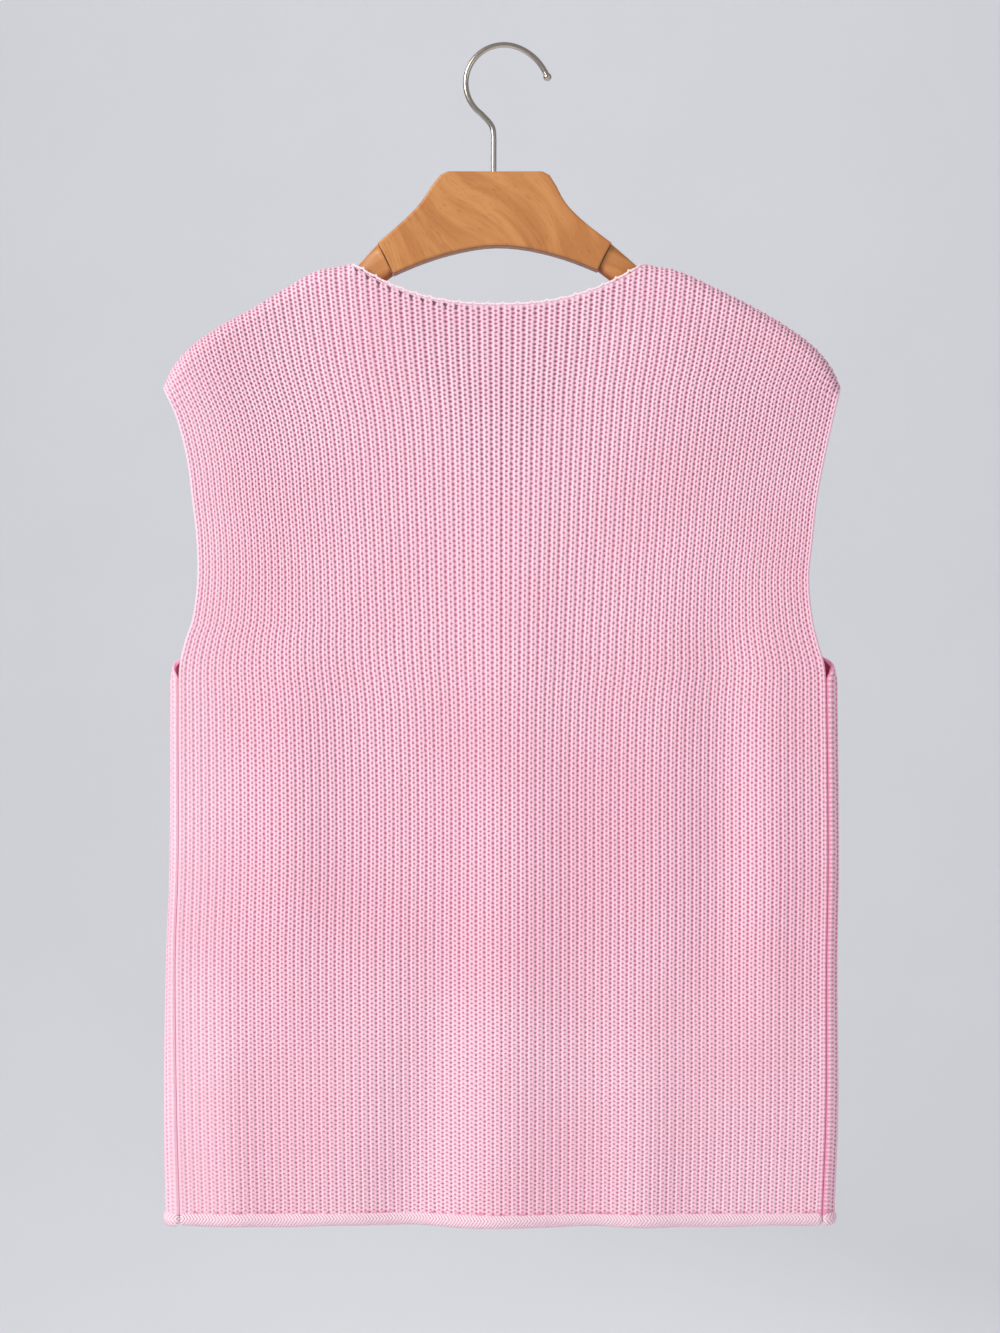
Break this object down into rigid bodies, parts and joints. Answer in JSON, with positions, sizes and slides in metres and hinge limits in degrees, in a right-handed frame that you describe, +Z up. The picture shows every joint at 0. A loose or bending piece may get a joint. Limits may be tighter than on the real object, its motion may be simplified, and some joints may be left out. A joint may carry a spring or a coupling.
{
  "type": "knitted sweater vest on a wooden hanger",
  "caption": "Sleeveless chunky rib-knit vest with extended shoulders, hung on a contoured wooden coat hanger with a wire hook.",
  "frame": {"origin": "top of the hook's inner crook, where a rail or peg carries the hanger", "axes": "+Z up, +X to the right of the shown back of the vest, -Y out of the back panel towards the viewer, +Y out of the front panel"},
  "size_m": [0.4598, 0.0291, 0.8028],
  "materials": {
    "knit": "soft matt cotton-blend yarn, chunky rib stitch",
    "wood": "honey-brown lacquered hardwood, satin",
    "steel": "satin nickel-plated round wire"
  },
  "bodies": {
    "root": {"back": "knit", "front": "knit", "hem_back": "knit", "hem_front": "knit", "neck_edge": "knit", "hanger_centre": "wood", "hanger_arm_left": "wood", "hanger_arm_right": "wood", "hanger_hook": "steel"}
  },
  "joints": []
}
